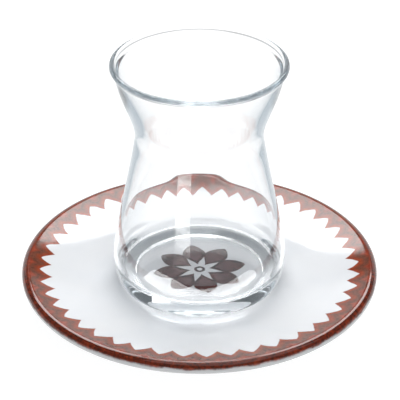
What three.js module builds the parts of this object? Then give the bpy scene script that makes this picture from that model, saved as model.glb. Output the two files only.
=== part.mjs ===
// A tulip-shaped tea glass standing in the well of its round saucer.
// Millimetres, +Z up. The origin is the middle of the saucer's foot, on the
// surface that the saucer stands on. Both pieces are turned about the Z axis.
import * as THREE from 'three';

// ---- saucer ---------------------------------------------------------------
const SAUCER_R = 60.0;        // outer radius
const LIP_ROLL = 2.05;        // radius of the rounded lip
const LIP_Z = 11.45;          // height of the middle of the lip
const LIP_LEAN = 16;          // slope of the dish where it runs into the lip, degrees
const LIP_FLAT = 0.3;         // nearly flat band along the crest of the lip
const LIP_TIP = 84;           // where that band lies on the roll, degrees
const WELL_R = 26.0;          // flat well under the glass
const WELL_DROP = 3.42;       // well floor below the middle of the lip
const BODY_T = 4.4;           // thickness of the body at the well
const FOOT_OUT_R = 35.0;      // foot ring, outside
const FOOT_IN_R = 30.6;       // foot ring, inside
const FOOT_ROUND = 0.9;       // rounding of the foot ring's edges
const FOOT_BLEND_R = 37.2;    // where the foot runs into the underside

// ---- glass ----------------------------------------------------------------
const STAND_GAP = 0.1;        // between the well floor and the standing ring
const GLASS_H = 79.7;         // standing ring to the top of the rim
const RIM_R = 28.6;           // outside of the rim bead
const RIM_BEAD = 0.95;        // radius of the rim bead
const LIP_WALL_R = 27.5;      // outside of the wall under the bead
const LIP_FLARE = 0.181;      // how much the wall still opens there, mm per mm
const WAIST_R = 20.99;        // outside of the waist
const WAIST_Z = 54.2;         // height of the waist
const BELLY_R = 28.92;        // outside of the belly
const BELLY_Z = 10.13;        // height of the belly
const STAND_R = 25.5;         // outer edge of the standing ring
const PUNT_R = 21.5;          // inner edge of the standing ring
const PUNT_H = 1.0;           // rise of the hollow under the base
const WALL_BELLY = 1.4;       // wall thickness at the belly, growing up to the ridge
const WALL_RIDGE = 1.95;      // soft ridge inside, below the waist
const RIDGE_Z = 48.2;         // height of that ridge
const RIDGE_SOFT = 1.0;       // how softly it bends
const WALL_FALL = -0.05;      // change of the wall for each mm above the ridge
const WALL_FLARE = 0.85;      // what the wall gains again above the waist
const FLARE_FROM = 51.0, FLARE_TO = 60.0;  // between these heights
const WALL_RIM = 1.7;         // wall thickness under the rim
const EASE_Z = 62.0;          // from here up the wall eases to its size at the rim
const FLOOR_Z = 5.2;          // floor of the cavity above the standing ring
const FLOOR_R = 23.4;         // flat part of that floor
const CORNER_Z = 8.6;         // height at which the corner to the floor begins

// Lengths of the curve handles that set how tight each bend is
const HEEL_RUN = 2.8, HEEL_RISE = 2.73;
const BELLY_PULL = 5.48, WAIST_PULL = 5.52;
const FLARE_PULL = 6.14, RIM_PULL = 12.0;
const CORNER_RISE = 2.2, CORNER_RUN = 2.0;

const SEGMENTS = 56;          // steps round the axis

// ---- helpers --------------------------------------------------------------
const v2 = (r, z) => new THREE.Vector2(r, z);

// Points of a cubic curve, without its first point, so that pieces can be chained.
function curve(p0, p1, p2, p3, steps) {
  return new THREE.CubicBezierCurve(p0, p1, p2, p3).getPoints(steps).slice(1);
}

// Points of a circular arc from angle a to angle b in degrees, without the first.
function arc(r, z, radius, a, b, steps) {
  const pts = [];
  for (let i = 1; i <= steps; i++) {
    const t = THREE.MathUtils.degToRad(a + ((b - a) * i) / steps);
    pts.push(v2(r + radius * Math.cos(t), z + radius * Math.sin(t)));
  }
  return pts;
}

// Turns a profile that runs from the axis, out and round, back to the axis.
function turned(name, profile, material) {
  const geometry = new THREE.LatheGeometry(profile, SEGMENTS);
  geometry.rotateX(Math.PI / 2);
  const mesh = new THREE.Mesh(geometry, material);
  mesh.name = name;
  return mesh;
}

// ---- saucer profile -------------------------------------------------------
const WELL_Z = LIP_Z - WELL_DROP;

function saucerProfile() {
  const lean = THREE.MathUtils.degToRad(LIP_LEAN);
  const lipR = SAUCER_R - LIP_ROLL;
  // where the dish meets the lip, and the power that lets it meet at the lip's slope
  const tip = THREE.MathUtils.degToRad(LIP_TIP);
  const inR = lipR - LIP_FLAT * Math.sin(tip);
  const inZ = LIP_Z + LIP_FLAT * Math.cos(tip);
  const joinR = inR - LIP_ROLL * Math.sin(lean);
  const joinZ = inZ + LIP_ROLL * Math.cos(lean);
  const rise = joinZ - WELL_Z;
  const run = joinR - WELL_R;
  const power = (Math.tan(lean) * run) / rise;
  // where the underside leaves the lip
  const underR = lipR + LIP_ROLL * Math.sin(lean);
  const underZ = LIP_Z - LIP_ROLL * Math.cos(lean);
  const floorZ = WELL_Z - BODY_T;
  const blendZ = floorZ + 1.3;

  const pts = [v2(0, floorZ)];
  pts.push(v2(FOOT_IN_R - 2.2, floorZ));
  pts.push(...curve(v2(FOOT_IN_R - 2.2, floorZ), v2(FOOT_IN_R - 0.6, floorZ),
    v2(FOOT_IN_R - 0.2, floorZ * 0.7), v2(FOOT_IN_R, FOOT_ROUND), 3));
  pts.push(...arc(FOOT_IN_R + FOOT_ROUND, FOOT_ROUND, FOOT_ROUND, 180, 270, 2));
  pts.push(v2(FOOT_OUT_R - FOOT_ROUND, 0));
  pts.push(...arc(FOOT_OUT_R - FOOT_ROUND, FOOT_ROUND, FOOT_ROUND, 270, 360, 2));
  pts.push(...curve(v2(FOOT_OUT_R, FOOT_ROUND), v2(FOOT_OUT_R + 0.2, blendZ * 0.75),
    v2(FOOT_BLEND_R - 1.2, blendZ - 0.2), v2(FOOT_BLEND_R, blendZ), 3));
  pts.push(...curve(v2(FOOT_BLEND_R, blendZ), v2(FOOT_BLEND_R + 7, blendZ + 0.9),
    v2(underR - 8, underZ - 8 * Math.tan(lean)), v2(underR, underZ), 4));
  pts.push(...arc(lipR, LIP_Z, LIP_ROLL, LIP_LEAN - 90, LIP_TIP, 6));
  pts.push(v2(inR + LIP_ROLL * Math.cos(tip), inZ + LIP_ROLL * Math.sin(tip)));
  pts.push(...arc(inR, inZ, LIP_ROLL, LIP_TIP, LIP_LEAN + 90, 2));
  const dishSteps = 9;
  for (let i = dishSteps - 1; i >= 0; i--) {
    const r = WELL_R + (run * i) / dishSteps;
    pts.push(v2(r, WELL_Z + rise * Math.pow(i / dishSteps, power)));
  }
  pts.push(v2(0, WELL_Z));
  return pts;
}

// ---- glass profile --------------------------------------------------------
// Smooth step from 0 at a to 1 at b.
function ease(x, a, b) {
  const k = THREE.MathUtils.clamp((x - a) / (b - a), 0, 1);
  return k * k * (3 - 2 * k);
}

// Thickness of the glass wall at a height above the base.
function wall(z) {
  const grow = (WALL_RIDGE - WALL_BELLY) / (RIDGE_Z - CORNER_Z - 4);
  const over = RIDGE_SOFT * Math.log1p(Math.exp((z - RIDGE_Z) / RIDGE_SOFT));
  let t = WALL_RIDGE + grow * (z - RIDGE_Z) + (WALL_FALL - grow) * over;
  t = Math.max(t, WALL_BELLY) + WALL_FLARE * ease(z, FLARE_FROM, FLARE_TO);
  return THREE.MathUtils.lerp(t, WALL_RIM, ease(z, EASE_Z, GLASS_H - 2.2));
}

// Radius of a curve of rising points at a height.
function radiusAt(pts, z) {
  let i = 1;
  while (i < pts.length - 1 && pts[i].y < z) i++;
  const a = pts[i - 1], b = pts[i];
  return a.x + ((b.x - a.x) * (z - a.y)) / (b.y - a.y);
}

function glassProfile() {
  const z0 = WELL_Z + STAND_GAP;
  const at = (r, z) => v2(r, z0 + z);
  const beadR = RIM_R - RIM_BEAD;
  const beadZ = GLASS_H - RIM_BEAD;
  const wallTop = beadZ - 1.0;

  // the outside from the standing ring to under the bead, finely, for the inside to follow
  const heel = [v2(STAND_R, 0), v2(STAND_R + HEEL_RUN, 0), v2(BELLY_R, BELLY_Z - HEEL_RISE), v2(BELLY_R, BELLY_Z)];
  const body = [v2(BELLY_R, BELLY_Z), v2(BELLY_R, BELLY_Z + BELLY_PULL), v2(WAIST_R, WAIST_Z - WAIST_PULL), v2(WAIST_R, WAIST_Z)];
  const flare = [v2(WAIST_R, WAIST_Z), v2(WAIST_R, WAIST_Z + FLARE_PULL),
    v2(LIP_WALL_R - LIP_FLARE * RIM_PULL, wallTop - RIM_PULL), v2(LIP_WALL_R, wallTop)];
  const outside = [...curve(...heel, 60), ...curve(...body, 120), ...curve(...flare, 60)];

  const pts = [at(0, PUNT_H)];
  // hollow under the base and the standing ring
  pts.push(...curve(at(0, PUNT_H), at(PUNT_R * 0.6, PUNT_H), at(PUNT_R - 0.7, PUNT_H * 0.7), at(PUNT_R, 0), 5));
  pts.push(at(STAND_R, 0));
  // heel, belly, taper to the waist, flare to the rim
  for (const p of [...curve(...heel, 6), ...curve(...body, 8), ...curve(...flare, 6)]) pts.push(at(p.x, p.y));
  // rim bead
  pts.push(...arc(beadR, z0 + beadZ, RIM_BEAD, -25, 180, 7));
  // inside of the flare, waist, taper, and the round corner down to the floor
  const heights = [wallTop - 0.9, 74, 71, 68, 65, 62.5, 60, 57.5, 55, 52.5, 50, 46.5, 38, 30, 21, 13, CORNER_Z];
  for (const z of heights) pts.push(at(radiusAt(outside, z) - wall(z), z));
  const cornerR = radiusAt(outside, CORNER_Z) - wall(CORNER_Z);
  pts.push(...curve(at(cornerR, CORNER_Z), at(cornerR, CORNER_Z - CORNER_RISE),
    at(FLOOR_R + CORNER_RUN, FLOOR_Z), at(FLOOR_R, FLOOR_Z), 4));
  pts.push(at(0, FLOOR_Z));
  return pts;
}

const glassMaterial = new THREE.MeshStandardMaterial({
  color: 0xe9f1f2, roughness: 0.02, metalness: 0, transparent: true, opacity: 0.3,
});
const glazeMaterial = new THREE.MeshStandardMaterial({ color: 0xf1f1ef, roughness: 0.12, metalness: 0 });

const set = new THREE.Group();
set.name = 'tea_glass_and_saucer';
set.add(turned('saucer', saucerProfile(), glazeMaterial));
set.add(turned('glass', glassProfile(), glassMaterial));

export default set;
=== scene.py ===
"""A clear tulip-shaped tea glass standing in the well of its glazed saucer.

Lengths are written in millimetres and turned to metres where a mesh is made.
"""

import math

import bpy
import numpy as np
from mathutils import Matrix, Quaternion, Vector


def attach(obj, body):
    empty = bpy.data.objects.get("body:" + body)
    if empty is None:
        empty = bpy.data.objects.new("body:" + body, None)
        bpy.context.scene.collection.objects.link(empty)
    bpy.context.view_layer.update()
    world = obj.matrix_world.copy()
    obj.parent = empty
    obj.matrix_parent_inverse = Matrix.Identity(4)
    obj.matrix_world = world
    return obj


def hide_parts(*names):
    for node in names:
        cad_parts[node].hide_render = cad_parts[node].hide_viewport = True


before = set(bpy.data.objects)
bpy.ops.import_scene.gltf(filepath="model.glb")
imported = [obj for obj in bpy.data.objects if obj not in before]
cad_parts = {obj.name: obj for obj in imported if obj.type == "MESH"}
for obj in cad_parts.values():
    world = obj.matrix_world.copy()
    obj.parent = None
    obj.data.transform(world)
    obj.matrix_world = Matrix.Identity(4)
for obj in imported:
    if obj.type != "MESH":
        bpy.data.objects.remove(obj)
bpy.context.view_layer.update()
MM = 0.001

# ---------------------------------------------------------------- sizes, saucer
SAUCER_R = 60.0
LIP_ROLL = 2.05
LIP_Z = 11.45
LIP_LEAN = 16.0
LIP_FLAT = 0.3  # nearly flat band along the crest of the lip
LIP_TIP = 84.0  # where that band lies on the roll, degrees
WELL_R = 26.0
WELL_DROP = 3.42
BODY_T = 4.4
FOOT_OUT_R = 35.0
FOOT_IN_R = 30.6
FOOT_ROUND = 0.9
FOOT_BLEND_R = 37.2
WELL_Z = LIP_Z - WELL_DROP

# ---------------------------------------------------------------- sizes, glass
STAND_GAP = 0.1
GLASS_H = 79.7
RIM_R = 28.6
RIM_BEAD = 0.95
LIP_WALL_R = 27.5
LIP_FLARE = 0.181
WAIST_R = 20.99
WAIST_Z = 54.2
BELLY_R = 28.92
BELLY_Z = 10.13
STAND_R = 25.5
PUNT_R = 21.5
PUNT_H = 1.0
WALL_BELLY = 1.4  # wall at the belly, growing up to the ridge
WALL_RIDGE = 1.95  # soft ridge inside, below the waist
RIDGE_Z = 48.2
RIDGE_SOFT = 1.0
WALL_FALL = -0.05  # change of the wall for each mm above the ridge
WALL_FLARE = 0.85  # what the wall gains again above the waist
FLARE_FROM, FLARE_TO = 51.0, 60.0
WALL_RIM = 1.7
EASE_Z = 62.0  # from here up the wall eases to its size at the rim
FLOOR_Z = 5.2
FLOOR_R = 23.4
CORNER_Z = 8.6
HEEL_RUN, HEEL_RISE = 2.8, 2.73
BELLY_PULL, WAIST_PULL = 5.48, 5.52
FLARE_PULL, RIM_PULL = 6.14, 12.0
CORNER_RISE, CORNER_RUN = 2.2, 2.0

# ---------------------------------------------------------------- border of the saucer
SCALLOPS = 45  # lobes round the border
CUSP_DEG = -91.5  # where one of the brown points is
VALLEY_R = 54.1  # furthest reach of a white lobe
LOBE = 4.0  # how far the brown points reach in from there
PETALS = 8  # of the rosette in the well
PETAL_FROM, PETAL_TO = 3.0, 16.0
PETAL_W = 4.1


# ---------------------------------------------------------------- mesh helpers
def bez(p0, p1, p2, p3, n):
    """Points of a cubic curve, without the first."""
    t = np.linspace(0, 1, n + 1)[1:, None]
    p0, p1, p2, p3 = (np.array(p, float) for p in (p0, p1, p2, p3))
    return (
        (1 - t) ** 3 * p0
        + 3 * (1 - t) ** 2 * t * p1
        + 3 * (1 - t) * t**2 * p2
        + t**3 * p3
    )


def arc(r, z, radius, a, b, n):
    """Points of a circular arc from angle a to b in degrees, without the first."""
    t = np.radians(a + (b - a) * np.arange(1, n + 1) / n)
    return np.stack([r + radius * np.cos(t), z + radius * np.sin(t)], 1)


def line(p0, p1, n):
    """Points of a straight line, without the first."""
    t = np.linspace(0, 1, n + 1)[1:, None]
    return np.array(p0, float) * (1 - t) + np.array(p1, float) * t


def turned(name, profile, segments, shift=None):
    """A smooth closed mesh turned about Z from a profile that starts and ends on the axis. shift(r, z, angle, row) may move the points of each row."""
    profile = np.asarray(profile, float)
    rows = len(profile) - 2
    angle = np.arange(segments) * 2 * math.pi / segments
    r = np.repeat(profile[1:-1, 0][:, None], segments, 1)
    z = np.repeat(profile[1:-1, 1][:, None], segments, 1)
    if shift is not None:
        r, z = shift(r, z, angle[None, :], np.arange(1, rows + 1)[:, None])
    ring = np.stack([r * np.cos(angle), r * np.sin(angle), z], -1).reshape(-1, 3)
    points = np.concatenate(
        [ring, [[0, 0, profile[0, 1]], [0, 0, profile[-1, 1]]]]
    )
    first, last = len(ring), len(ring) + 1
    j = np.arange(segments)
    k = (j + 1) % segments
    faces = []
    for i in range(rows - 1):
        a, b = i * segments, (i + 1) * segments
        faces.append(np.stack([a + j, a + k, b + k, b + j], 1))
    quads = np.concatenate(faces).tolist()
    quads += np.stack([np.full_like(j, first), k, j], 1).tolist()
    end = (rows - 1) * segments
    quads += np.stack([end + j, end + k, np.full_like(j, last)], 1).tolist()
    mesh = bpy.data.meshes.new(name)
    mesh.from_pydata((points * MM).tolist(), [], quads)
    mesh.update()
    mesh.polygons.foreach_set("use_smooth", [True] * len(mesh.polygons))
    ob = bpy.data.objects.new(name, mesh)
    bpy.context.scene.collection.objects.link(ob)
    return ob


# ---------------------------------------------------------------- profiles
def saucer_profile():
    lean = math.radians(LIP_LEAN)
    lip_r = SAUCER_R - LIP_ROLL
    tip = math.radians(LIP_TIP)
    in_r = lip_r - LIP_FLAT * math.sin(tip)
    in_z = LIP_Z + LIP_FLAT * math.cos(tip)
    join_r = in_r - LIP_ROLL * math.sin(lean)
    join_z = in_z + LIP_ROLL * math.cos(lean)
    rise, run = join_z - WELL_Z, join_r - WELL_R
    power = math.tan(lean) * run / rise
    under = (lip_r + LIP_ROLL * math.sin(lean), LIP_Z - LIP_ROLL * math.cos(lean))
    floor_z = WELL_Z - BODY_T
    blend_z = floor_z + 1.3
    p = [np.array([[0, floor_z]])]
    p.append(line((0, floor_z), (FOOT_IN_R - 2.2, floor_z), 14))
    p.append(
        bez(
            (FOOT_IN_R - 2.2, floor_z),
            (FOOT_IN_R - 0.6, floor_z),
            (FOOT_IN_R - 0.2, floor_z * 0.7),
            (FOOT_IN_R, FOOT_ROUND),
            10,
        )
    )
    p.append(arc(FOOT_IN_R + FOOT_ROUND, FOOT_ROUND, FOOT_ROUND, 180, 270, 6))
    p.append(line((FOOT_IN_R + FOOT_ROUND, 0), (FOOT_OUT_R - FOOT_ROUND, 0), 4))
    p.append(arc(FOOT_OUT_R - FOOT_ROUND, FOOT_ROUND, FOOT_ROUND, 270, 360, 6))
    p.append(
        bez(
            (FOOT_OUT_R, FOOT_ROUND),
            (FOOT_OUT_R + 0.2, blend_z * 0.75),
            (FOOT_BLEND_R - 1.2, blend_z - 0.2),
            (FOOT_BLEND_R, blend_z),
            10,
        )
    )
    p.append(
        bez(
            (FOOT_BLEND_R, blend_z),
            (FOOT_BLEND_R + 7, blend_z + 0.9),
            (under[0] - 8, under[1] - 8 * math.tan(lean)),
            under,
            22,
        )
    )
    p.append(arc(lip_r, LIP_Z, LIP_ROLL, LIP_LEAN - 90, LIP_TIP, 24))
    p.append(line(p[-1][-1], (in_r + LIP_ROLL * math.cos(tip), in_z + LIP_ROLL * math.sin(tip)), 3))
    p.append(arc(in_r, in_z, LIP_ROLL, LIP_TIP, LIP_LEAN + 90, 8))
    t = np.linspace(1, 0, 45)[1:]
    p.append(np.stack([WELL_R + run * t, WELL_Z + rise * t**power], 1))
    p.append(line((WELL_R, WELL_Z), (0, WELL_Z), 16))
    return np.concatenate(p)


def wall(z):
    """Thickness of the glass wall at heights above the base."""
    grow = (WALL_RIDGE - WALL_BELLY) / (RIDGE_Z - CORNER_Z - 4)
    over = RIDGE_SOFT * np.log1p(np.exp((z - RIDGE_Z) / RIDGE_SOFT))
    t = WALL_RIDGE + grow * (z - RIDGE_Z) + (WALL_FALL - grow) * over
    k = np.clip((z - FLARE_FROM) / (FLARE_TO - FLARE_FROM), 0, 1)
    t = np.maximum(t, WALL_BELLY) + WALL_FLARE * k * k * (3 - 2 * k)
    k = np.clip((z - EASE_Z) / (GLASS_H - 2.2 - EASE_Z), 0, 1)
    k = k * k * (3 - 2 * k)
    return t * (1 - k) + WALL_RIM * k


def glass_profile():
    """The profile, and the row at which the inside begins."""
    z0 = WELL_Z + STAND_GAP
    bead_r, bead_z = RIM_R - RIM_BEAD, GLASS_H - RIM_BEAD
    top = bead_z - 1.0
    p = [np.array([[0, PUNT_H]])]
    p.append(
        bez(
            (0, PUNT_H), (PUNT_R * 0.6, PUNT_H), (PUNT_R - 0.7, PUNT_H * 0.7), (PUNT_R, 0), 30
        )
    )
    p.append(line((PUNT_R, 0), (STAND_R, 0), 5))
    p.append(
        bez(
            (STAND_R, 0),
            (STAND_R + HEEL_RUN, 0),
            (BELLY_R, BELLY_Z - HEEL_RISE),
            (BELLY_R, BELLY_Z),
            26,
        )
    )
    p.append(
        bez(
            (BELLY_R, BELLY_Z),
            (BELLY_R, BELLY_Z + BELLY_PULL),
            (WAIST_R, WAIST_Z - WAIST_PULL),
            (WAIST_R, WAIST_Z),
            44,
        )
    )
    p.append(
        bez(
            (WAIST_R, WAIST_Z),
            (WAIST_R, WAIST_Z + FLARE_PULL),
            (LIP_WALL_R - LIP_FLARE * RIM_PULL, top - RIM_PULL),
            (LIP_WALL_R, top),
            26,
        )
    )
    p.append(arc(bead_r, bead_z, RIM_BEAD, -25, 180, 22))
    inside = sum(len(x) for x in p)
    outer = np.concatenate(p[3:6])
    z = np.linspace(top - 0.9, CORNER_Z, 90)
    r = np.interp(z, outer[:, 1], outer[:, 0]) - wall(z)
    p.append(
        bez(
            (bead_r - RIM_BEAD, bead_z),
            (bead_r - RIM_BEAD, bead_z - 0.7),
            (r[0] + 0.1, z[0] + 0.6),
            (r[0], z[0]),
            5,
        )
    )
    p.append(np.stack([r, z], 1)[1:])
    p.append(
        bez(
            (r[-1], CORNER_Z),
            (r[-1], CORNER_Z - CORNER_RISE),
            (FLOOR_R + CORNER_RUN, FLOOR_Z),
            (FLOOR_R, FLOOR_Z),
            24,
        )
    )
    p.append(line((FLOOR_R, FLOOR_Z), (0, FLOOR_Z), 14))
    p = np.concatenate(p)
    p[:, 1] += z0
    return p, inside


# ---------------------------------------------------------------- node helpers
class Nodes:
    """Short ways to write a node tree."""

    def __init__(self, name):
        self.mat = bpy.data.materials.new(name)
        self.mat.use_nodes = True
        self.nt = self.mat.node_tree
        self.nt.nodes.clear()
        self.out = self.new("ShaderNodeOutputMaterial")
        self.bsdf = self.new("ShaderNodeBsdfPrincipled")
        self.nt.links.new(self.bsdf.outputs[0], self.out.inputs["Surface"])

    def new(self, kind, **settings):
        n = self.nt.nodes.new(kind)
        for k, v in settings.items():
            setattr(n, k, v)
        return n

    def put(self, value, socket):
        if isinstance(value, bpy.types.NodeSocket):
            self.nt.links.new(value, socket)
        else:
            socket.default_value = value

    def math(self, op, a, b=0.0, c=0.0, clamp=False):
        n = self.new("ShaderNodeMath", operation=op, use_clamp=clamp)
        for v, s in zip((a, b, c), n.inputs):
            self.put(v, s)
        return n.outputs[0]

    def step(self, value, lo, hi, smooth=True):
        """0 below lo and 1 above hi, or the other way round if hi is lower."""
        n = self.new(
            "ShaderNodeMapRange",
            interpolation_type="SMOOTHSTEP" if smooth else "LINEAR",
            clamp=True,
        )
        self.put(value, n.inputs["Value"])
        if hi >= lo:
            ends = (lo, hi, 0.0, 1.0)
        else:
            ends = (hi, lo, 1.0, 0.0)
        for v, k in zip(ends, ("From Min", "From Max", "To Min", "To Max")):
            n.inputs[k].default_value = v
        return n.outputs["Result"]

    def noise(self, vector, scale, detail=3.0, rough=0.5, dims="3D", distort=0.0):
        n = self.new("ShaderNodeTexNoise", noise_dimensions=dims)
        self.put(vector, n.inputs["Vector"])
        n.inputs["Scale"].default_value = scale
        n.inputs["Detail"].default_value = detail
        n.inputs["Roughness"].default_value = rough
        n.inputs["Distortion"].default_value = distort
        return n.outputs["Fac"]

    def mix(self, fac, a, b, blend="MIX"):
        n = self.new("ShaderNodeMix", data_type="RGBA", blend_type=blend)
        self.put(fac, n.inputs["Factor"])
        self.put(a, n.inputs["A"])
        self.put(b, n.inputs["B"])
        return n.outputs["Result"]

    def vector(self, x, y, z):
        n = self.new("ShaderNodeCombineXYZ")
        for v, s in zip((x, y, z), n.inputs):
            self.put(v, s)
        return n.outputs[0]


def srgb(r, g, b):
    """A colour given as 8-bit sRGB, as linear values."""
    f = [
        c / 255 / 12.92 if c / 255 <= 0.04045 else ((c / 255 + 0.055) / 1.055) ** 2.4
        for c in (r, g, b)
    ]
    return (*f, 1.0)


# ---------------------------------------------------------------- glaze of the saucer
def glaze_material():
    n = Nodes("saucer_glaze")
    m = n.math
    coord = n.new("ShaderNodeTexCoord").outputs["Object"]
    scale = n.new("ShaderNodeVectorMath", operation="SCALE")
    n.put(coord, scale.inputs[0])
    scale.inputs["Scale"].default_value = 1000.0
    p = scale.outputs[0]  # millimetres
    xyz = n.new("ShaderNodeSeparateXYZ")
    n.put(p, xyz.inputs[0])
    x, y, z = xyz.outputs
    r = m("SQRT", m("ADD", m("MULTIPLY", x, x), m("MULTIPLY", y, y)))
    deg = m("MULTIPLY", m("ARCTAN2", y, x), 180 / math.pi)

    # scalloped inner edge: s is 0 in the middle of a white lobe and 1 at a brown point
    sway = m("SUBTRACT", n.noise(p, 0.11, 1.0), 0.5)
    turn = m("ADD", m("DIVIDE", m("SUBTRACT", deg, CUSP_DEG), 360 / SCALLOPS), 90.0)
    u = m("FRACT", m("ADD", turn, m("MULTIPLY", sway, 0.22)))
    s = m("ABSOLUTE", m("SUBTRACT", m("MULTIPLY", u, 2.0), 1.0))
    uneven = m("MULTIPLY", m("SUBTRACT", n.noise(p, 0.25, 2.0), 0.5), 1.1)
    edge = m("SUBTRACT", VALLEY_R, m("MULTIPLY", m("POWER", s, 1.25), LOBE))
    edge = m("ADD", edge, uneven)
    slope = m("MULTIPLY", m("POWER", s, 0.25), 1.25 * LOBE / 3.55)
    lean = m("DIVIDE", 1.0, m("SQRT", m("ADD", 1.0, m("MULTIPLY", slope, slope))))
    d = m("MULTIPLY", m("SUBTRACT", r, edge), lean)  # depth into the brown, mm

    fine = n.noise(p, 1.1, 5.0, 0.62)
    spots = n.noise(p, 0.45, 3.0, 0.55)
    drift = m("MULTIPLY", m("SUBTRACT", n.noise(p, 0.6, 3.0), 0.5), 1.6)

    white = n.mix(
        n.step(n.noise(p, 0.05, 2.0), 0.35, 0.65),
        srgb(231, 233, 236),
        srgb(235, 236, 238),
    )
    rust = n.mix(n.step(fine, 0.38, 0.62), srgb(158, 70, 38), srgb(138, 54, 28))
    dark = n.mix(n.step(fine, 0.35, 0.65), srgb(94, 54, 38), srgb(122, 68, 50))
    red = n.mix(n.step(spots, 0.42, 0.6), srgb(160, 70, 46), srgb(136, 52, 32))
    red = n.mix(n.step(fine, 0.55, 0.72), red, srgb(104, 46, 28))
    outer = n.mix(n.step(fine, 0.42, 0.6), srgb(106, 38, 18), srgb(70, 30, 18))
    outer = n.mix(n.step(spots, 0.52, 0.66), outer, srgb(128, 48, 22))

    d2 = m("ADD", d, drift)
    brown = n.mix(n.step(d2, 0.5, 2.2), rust, dark)
    brown = n.mix(n.step(d2, 2.4, 3.8), brown, red)
    brown = n.mix(n.step(m("ADD", r, m("MULTIPLY", drift, 0.3)), 57.4, 58.6), brown, outer)
    # painted shade: the white ground in the well is made greyer where the glass stands on it, for the shade under the
    # glass, and a ring under its foot on the back half is a painted contact shadow
    ring = m("MULTIPLY", m("MULTIPLY", n.step(r, 20.5, 22.0), n.step(r, 28.0, 26.8)), n.step(y, -6.0, 8.0))
    # painted shade: the well's white glaze is greyed under the glass
    white = n.mix(n.step(r, 24.5, 22.0), white, srgb(202, 204, 207))
    # painted shadow: this ring's grey is the contact shadow of the glass's foot
    white = n.mix(ring, white, srgb(150, 154, 157))
    colour = n.mix(n.step(d, -0.16, 0.16), white, brown)

    # a plain rosette of petals painted in the well
    soft = m("MULTIPLY", m("SUBTRACT", n.noise(p, 0.5, 3.0, 0.6), 0.5), 0.9)
    rr = m("ADD", r, soft)
    v = m("FRACT", m("ADD", m("DIVIDE", deg, 360 / PETALS), 50.25))
    v = m("MULTIPLY", m("ABSOLUTE", m("SUBTRACT", v, 0.5)), m("MULTIPLY", rr, 2 * math.pi / PETALS))
    run = m("DIVIDE", m("SUBTRACT", rr, PETAL_FROM), PETAL_TO - PETAL_FROM, clamp=True)
    wide = m("MULTIPLY", m("SINE", m("MULTIPLY", m("POWER", run, 1.35), math.pi)), PETAL_W)
    inset = m("SUBTRACT", wide, v)  # depth into a petal, mm
    paint = n.mix(n.step(fine, 0.35, 0.65), srgb(58, 24, 20), srgb(76, 38, 34))
    pale = n.mix(n.step(spots, 0.4, 0.6), srgb(106, 76, 78), srgb(82, 54, 56))
    petal = n.mix(m("MULTIPLY", n.step(inset, 0.9, 1.5), n.step(run, 0.75, 0.35)), paint, pale)
    on = m("MULTIPLY", n.step(inset, -0.12, 0.12), m("MULTIPLY", n.step(run, 0.99, 0.96), n.step(run, 0.0, 0.03)))
    hub = m("MULTIPLY", n.step(rr, 2.0, 1.7), n.step(rr, 0.7, 1.0))
    colour = n.mix(n.step(z, LIP_Z, LIP_Z - 1), colour, n.mix(m("MAXIMUM", on, hub), colour, petal))

    # the brown runs over the lip and thins out on its outer side
    fade = m("ADD", z, m("MULTIPLY", m("SUBTRACT", n.noise(p, 0.22, 4.0, 0.6), 0.5), 1.7))
    below = n.step(fade, LIP_Z + 0.85, LIP_Z - 0.05)
    top_side = n.step(r, 57.0, 58.0)
    under_side = n.step(z, LIP_Z - 1.4, LIP_Z - 1.8)
    below = m("MULTIPLY", below, top_side)
    clear = m("MAXIMUM", below, m("MULTIPLY", under_side, n.step(r, 55.0, 57.0)))
    # painted shade: the white glaze below the brown on the lip's outer side, and on the whole underside, gets this grey
    # for the shade that falls there
    shade = srgb(190, 191, 192)
    colour = n.mix(clear, colour, shade)
    # everything lower than the dish belongs to the underside
    geo = n.new("ShaderNodeNewGeometry")
    nz = n.new("ShaderNodeSeparateXYZ")
    n.put(geo.outputs["Normal"], nz.inputs[0])
    facing_down = n.step(nz.outputs[2], -0.2, -0.45)
    bisque = n.mix(n.step(fine, 0.4, 0.6), srgb(214, 204, 190), srgb(200, 190, 176))
    foot = m("MULTIPLY", n.step(z, 0.5, 0.15), facing_down)
    # painted shade: the glazed underside takes the grey of its shade; only the bare foot keeps its bisque colour
    underside_shade_and_bisque = n.mix(foot, shade, bisque)
    colour = n.mix(facing_down, colour, underside_shade_and_bisque)
    n.put(colour, n.bsdf.inputs["Base Color"])

    rough = m("ADD", 0.05, m("MULTIPLY", n.noise(p, 0.3, 3.0), 0.06))
    rough = m("ADD", rough, m("MULTIPLY", foot, 0.6))
    n.put(rough, n.bsdf.inputs["Roughness"])
    n.bsdf.inputs["IOR"].default_value = 1.5
    bump = n.new("ShaderNodeBump")
    bump.inputs["Strength"].default_value = 0.08
    bump.inputs["Distance"].default_value = 0.0004
    height = m("ADD", m("MULTIPLY", n.noise(p, 0.16, 2.0), 1.0), m("MULTIPLY", n.step(d, -0.3, 0.5), 0.12))
    n.put(height, bump.inputs["Height"])
    n.put(bump.outputs[0], n.bsdf.inputs["Normal"])
    return n.mat


# ---------------------------------------------------------------- glass
def glass_material():
    n = Nodes("clear_glass")
    b = n.bsdf.inputs
    b["Base Color"].default_value = (1.0, 1.0, 1.0, 1.0)
    b["Roughness"].default_value = 0.0
    b["IOR"].default_value = 1.51
    b["Transmission Weight"].default_value = 1.0
    vol = n.new("ShaderNodeVolumeAbsorption")
    vol.inputs["Color"].default_value = (0.76, 0.83, 0.87, 1.0)
    vol.inputs["Density"].default_value = 10.0
    n.nt.links.new(vol.outputs[0], n.out.inputs["Volume"])
    return n.mat


# ---------------------------------------------------------------- pieces
saucer = turned("saucer_glazed", saucer_profile(), 288)
saucer.data.materials.append(glaze_material())
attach(saucer, "root")
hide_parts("saucer")

profile, INSIDE = glass_profile()


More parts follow.
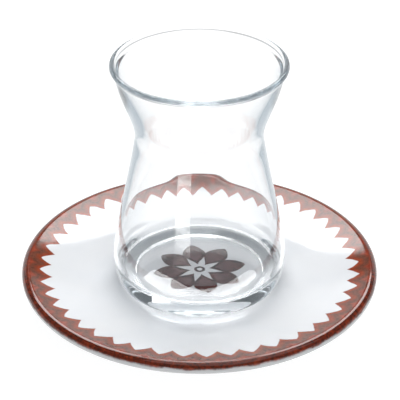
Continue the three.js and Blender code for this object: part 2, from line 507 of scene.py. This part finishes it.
def waves(r, z, angle, row):
    """Slight unevenness of the inner wall, as in pressed glass."""
    wall = (row >= INSIDE) & (r > 15)
    w = (
        0.035 * np.cos(2 * angle + 0.6 + z / 21.0)
        + 0.02 * np.cos(3 * angle - 1.1 - z / 13.0)
        + 0.012 * np.cos(7 * angle + 2.0 + z / 9.0)
    )
    return r + np.where(wall, w, 0.0), z


glass = turned("glass_clear", profile, 256, waves)
glass.data.materials.append(glass_material())
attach(glass, "root")
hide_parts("glass")

# ---------------------------------------------------------------- floor
mesh = bpy.data.meshes.new("floor")
S = 3.0
mesh.from_pydata([(-S, -S, 0), (S, -S, 0), (S, S, 0), (-S, S, 0)], [], [(0, 1, 2, 3)])
floor = bpy.data.objects.new("floor", mesh)
bpy.context.scene.collection.objects.link(floor)
fn = Nodes("floor_white")
fb = fn.bsdf.inputs
fb["Roughness"].default_value = 0.9
fb["Specular IOR Level"].default_value = 0.1
fb["Emission Color"].default_value = (1.0, 1.0, 1.0, 1)
fb["Emission Strength"].default_value = 0.83


def inner_paths(nodes):
    """1 for light that has been led along inside a glass wall, 0 for what is seen straight through."""
    path = nodes.new("ShaderNodeLightPath").outputs
    led = nodes.math("MAXIMUM", nodes.math("COMPARE", path["Ray Depth"], 3.0, 0.1), nodes.math("GREATER_THAN", path["Ray Depth"], 4.5))
    return nodes.math("MULTIPLY", led, nodes.math("LESS_THAN", path["Diffuse Depth"], 0.5)), path


# what the walls of the glass draw in from the floor, and the rim from far behind, is darker, which outlines them
fxyz = fn.new("ShaderNodeSeparateXYZ")
fn.put(fn.new("ShaderNodeTexCoord").outputs["Object"], fxyz.inputs[0])
fr = fn.math("SQRT", fn.math("ADD", fn.math("POWER", fxyz.outputs[0], 2.0), fn.math("POWER", fxyz.outputs[1], 2.0)))
led, fpath = inner_paths(fn)
ff = fn.math("MULTIPLY", fn.math("COMPARE", fpath["Ray Depth"], 2.0, 0.1), fn.step(fr, 0.3, 0.4))
fcol = fn.mix(led, (1, 1, 1, 1), (0.28, 0.34, 0.39, 1))
fcol = fn.mix(fn.math("MULTIPLY", ff, 0.8), fcol, (0.1, 0.1, 0.11, 1))
deep = fn.math("MULTIPLY", fn.math("GREATER_THAN", fpath["Ray Depth"], 22.5), fn.math("LESS_THAN", fpath["Diffuse Depth"], 0.5))
fcol = fn.mix(deep, fcol, (0.06, 0.075, 0.085, 1))
# far away the floor runs into the white background
fcol = fn.mix(fn.math("MULTIPLY", fpath["Is Camera Ray"], fn.step(fr, 0.35, 0.6)), fcol, (1.25, 1.25, 1.25, 1))
fn.put(fcol, fb["Emission Color"])
fbase = fn.mix(led, (0.3, 0.3, 0.302, 1), (0.17, 0.185, 0.195, 1))
fn.put(fn.mix(deep, fbase, (0.04, 0.045, 0.05, 1)), fb["Base Color"])
floor.data.materials.append(fn.mat)


# ---------------------------------------------------------------- light
def area(name, direction, distance, size, radiance, colour=(1, 1, 1), aim=(0, 0, 0.03), roll=0, spread=180):
    """A rectangular lamp of an even brightness, seen from the glass in a direction given as azimuth (0 is behind, positive to the right) and elevation in degrees."""
    az, el = (math.radians(v) for v in direction)
    aim = Vector(aim)
    d = Vector((math.sin(az) * math.cos(el), math.cos(az) * math.cos(el), math.sin(el)))
    lamp = bpy.data.lights.new(name, "AREA")
    lamp.shape = "RECTANGLE"
    lamp.size, lamp.size_y = size
    lamp.energy = radiance * math.pi * size[0] * size[1]
    lamp.color = colour
    lamp.spread = math.radians(spread)
    ob = bpy.data.objects.new(name, lamp)
    ob.location = aim + d * distance
    ob.rotation_mode = "QUATERNION"
    ob.rotation_quaternion = (-d).to_track_quat("-Z", "Y") @ Quaternion((0, 0, 1), math.radians(roll))
    ob.visible_camera = False
    bpy.context.scene.collection.objects.link(ob)
    return ob


area("top_fill", (120, 76), 1.2, (1.2, 1.2), 0.9, (0.985, 0.99, 1.0))
area("front_fill", (180, 50), 1.2, (1.2, 0.8), 1.6, (0.985, 0.99, 1.0)).visible_glossy = False


def shine(ob, colour, strength):
    """Make a stage object an even shining face that the camera doesn't see."""
    mat = bpy.data.materials.new(ob.name)
    mat.use_nodes = True
    b = mat.node_tree.nodes["Principled BSDF"].inputs
    b["Base Color"].default_value = (0, 0, 0, 1)
    b["Specular IOR Level"].default_value = 0.0
    b["Emission Color"].default_value = (*colour, 1)
    b["Emission Strength"].default_value = strength
    ob.data.materials.append(mat)
    bpy.context.scene.collection.objects.link(ob)
    ob.visible_camera = ob.visible_shadow = False


def softbox(name, low, high, strength):
    """A curved light bank at 1 m between two edges. low lists azimuth and elevation along its lower edge."""
    az = np.linspace(low[0][0], low[-1][0], 41)
    bottom = np.interp(az, *zip(*low))
    points = []
    for a, e in [*zip(az, bottom), *zip(az, np.full_like(az, high))]:
        a, e = math.radians(a), math.radians(e)
        points.append((math.sin(a) * math.cos(e), math.cos(a) * math.cos(e), math.sin(e) + 0.01))
    n = len(az)
    mesh = bpy.data.meshes.new(name)
    mesh.from_pydata(points, [], [(i, i + 1, n + i + 1, n + i) for i in range(n - 1)])
    shine(bpy.data.objects.new(name, mesh), (1, 1, 1), strength)


softbox(
    "back_softbox",
    [(-31, 37), (-22, 36.5), (-16, 34.5), (-12, 33), (-7, 37), (-2, 44), (1, 44.8), (5.5, 42.2), (14.5, 33), (20, 31.8), (24, 32.4), (30, 36)],
    57.0,
    6.4,
)
# a weaker bank above it
softbox("upper_glow", [(-34, 57.0), (34, 57.0)], 72.0, 1.7)


def card(name, outline, colour, strength):
    """A flat shining card on the floor, not seen by the camera itself. outline is in mm."""
    mesh = bpy.data.meshes.new(name)
    mesh.from_pydata([(x * MM, y * MM, 0.001) for x, y in outline], [], [tuple(range(len(outline)))])
    ob = bpy.data.objects.new(name, mesh)
    shine(ob, colour, strength)
    ob.visible_diffuse = False


def polar(distance, degrees):
    """A point on the floor, by its distance and its angle to the left of the front."""
    a = math.radians(degrees)
    return -distance * math.sin(a), -distance * math.cos(a)


# bright cards in front that draw the tall highlight on the glass
for i, (near, far, strength) in enumerate([(165, 215, 1.2), (215, 245, 1.7), (245, 270, 2.8), (270, 390, 5.6)]):
    card("front_card_%d" % i, [polar(near, 12.5), polar(near, 34), polar(far, 34), polar(far, 12.5)], (1, 1, 1), strength)

# surroundings: white low down and behind, darker and bluish above at the sides and in front
world = bpy.data.worlds.new("studio")
world.use_nodes = True
wt = world.node_tree


def wnode(kind, *values, **settings):
    """A node of the world with its inputs put in order, and its first output."""
    node = wt.nodes.new(kind)
    for k, v in settings.items():
        setattr(node, k, v)
    for v, socket in zip(values, node.inputs):
        if isinstance(v, bpy.types.NodeSocket):
            wt.links.new(v, socket)
        else:
            socket.default_value = v
    return node.outputs[0]


def wstep(value, lo, hi):
    """0 below lo, 1 above hi."""
    return wnode("ShaderNodeMapRange", value, lo, hi, 0.0, 1.0, interpolation_type="SMOOTHSTEP")


xyz = wt.nodes.new("ShaderNodeSeparateXYZ")
wt.links.new(wt.nodes.new("ShaderNodeTexCoord").outputs["Generated"], xyz.inputs[0])
wx, wy, wz = xyz.outputs
el = wnode("ShaderNodeMath", wnode("ShaderNodeMath", wz, operation="ARCSINE"), 180 / math.pi, operation="MULTIPLY")
az = wnode("ShaderNodeMath", wnode("ShaderNodeMath", wx, wy, operation="ARCTAN2"), 180 / math.pi, operation="MULTIPLY")
away = wstep(wnode("ShaderNodeMath", az, operation="ABSOLUTE"), 28.0, 42.0)
above_low = wstep(el, 6.0, 16.0)
above_back = wstep(el, 25.0, 29.0)
dark = wnode("ShaderNodeMath", away, wnode("ShaderNodeMath", above_low, above_back, operation="SUBTRACT"), above_back, operation="MULTIPLY_ADD")
# light led along inside a glass wall: the back is bright higher up, the sides are darker low down
wpath = wt.nodes.new("ShaderNodeLightPath").outputs
led = wnode("ShaderNodeMath", wnode("ShaderNodeMath", wpath["Ray Depth"], 3.0, 0.1, operation="COMPARE"), wnode("ShaderNodeMath", wpath["Ray Depth"], 4.5, operation="GREATER_THAN"), operation="MAXIMUM")
led = wnode("ShaderNodeMath", led, wnode("ShaderNodeMath", wpath["Diffuse Depth"], 0.5, operation="LESS_THAN"), operation="MULTIPLY")
side = wnode("ShaderNodeMath", az, operation="ABSOLUTE")
behind = wnode("ShaderNodeMath", 1.0, wnode("ShaderNodeMath", wstep(side, 20.0, 28.0), wstep(el, 46.0, 50.0), operation="MAXIMUM"), operation="SUBTRACT")
behind = wnode("ShaderNodeMath", behind, wstep(el, 34.0, 36.5), operation="MULTIPLY")
dark = wnode("ShaderNodeMath", dark, wnode("ShaderNodeMath", 1.0, wnode("ShaderNodeMath", wnode("ShaderNodeMath", wpath["Ray Depth"], 4.0, 1.1, operation="COMPARE"), behind, operation="MULTIPLY"), operation="SUBTRACT"), operation="MULTIPLY")
low_side = wnode("ShaderNodeMath", wnode("ShaderNodeMath", led, wstep(side, 28.0, 44.0), operation="MULTIPLY"), 1.0, operation="MULTIPLY")
dark = wnode("ShaderNodeMath", dark, low_side, operation="MAXIMUM")
deep = wnode("ShaderNodeMath", wnode("ShaderNodeMath", wpath["Ray Depth"], 22.5, operation="GREATER_THAN"), wnode("ShaderNodeMath", wpath["Diffuse Depth"], 0.5, operation="LESS_THAN"), operation="MULTIPLY")
dark = wnode("ShaderNodeMath", dark, deep, operation="MAXIMUM")
# what is seen straight through two walls stays white
clear = wnode("ShaderNodeMath", wpath["Ray Depth"], 5.0, 0.1, operation="COMPARE")
clear = wnode("ShaderNodeMath", clear, wnode("ShaderNodeMath", wpath["Diffuse Depth"], 0.5, operation="LESS_THAN"), operation="MULTIPLY")
dark = wnode("ShaderNodeMath", dark, wnode("ShaderNodeMath", 1.0, clear, operation="SUBTRACT"), operation="MULTIPLY")
shade = wt.nodes.new("ShaderNodeMix")
shade.data_type = "RGBA"
wt.links.new(dark, shade.inputs["Factor"])
shade.inputs["A"].default_value = (1.12, 1.12, 1.12, 1)
shade.inputs["B"].default_value = (0.12, 0.135, 0.145, 1)
bg = wt.nodes["Background"]
wt.links.new(shade.outputs["Result"], bg.inputs["Color"])
bg.inputs["Strength"].default_value = 1.0
plain = wt.nodes.new("ShaderNodeBackground")
plain.inputs["Color"].default_value = (1.05, 1.05, 1.05, 1)
seen = wt.nodes.new("ShaderNodeLightPath").outputs["Is Camera Ray"]
both = wt.nodes.new("ShaderNodeMixShader")
wt.links.new(seen, both.inputs[0])
wt.links.new(bg.outputs[0], both.inputs[1])
wt.links.new(plain.outputs[0], both.inputs[2])
wt.links.new(both.outputs[0], wt.nodes["World Output"].inputs["Surface"])
bpy.context.scene.world = world

scene = bpy.context.scene
scene.view_settings.view_transform = "Standard"
scene.cycles.max_bounces = 64
scene.cycles.transmission_bounces = 64
scene.cycles.glossy_bounces = 64
scene.cycles.diffuse_bounces = 4
scene.cycles.blur_glossy = 0.05

# ---------------------------------------------------------------- camera
cam_data = bpy.data.cameras.new("camera")
cam_data.sensor_width = 36.0
cam_data.lens = 36.0 * 1603 / 400
cam_data.clip_start, cam_data.clip_end = 0.02, 20
cam = bpy.data.objects.new("camera", cam_data)
cam.location = (0.0002, -0.4579, 0.30705)
cam.rotation_euler = (math.radians(90 - 30.51), 0, 0)
scene.collection.objects.link(cam)
scene.camera = cam
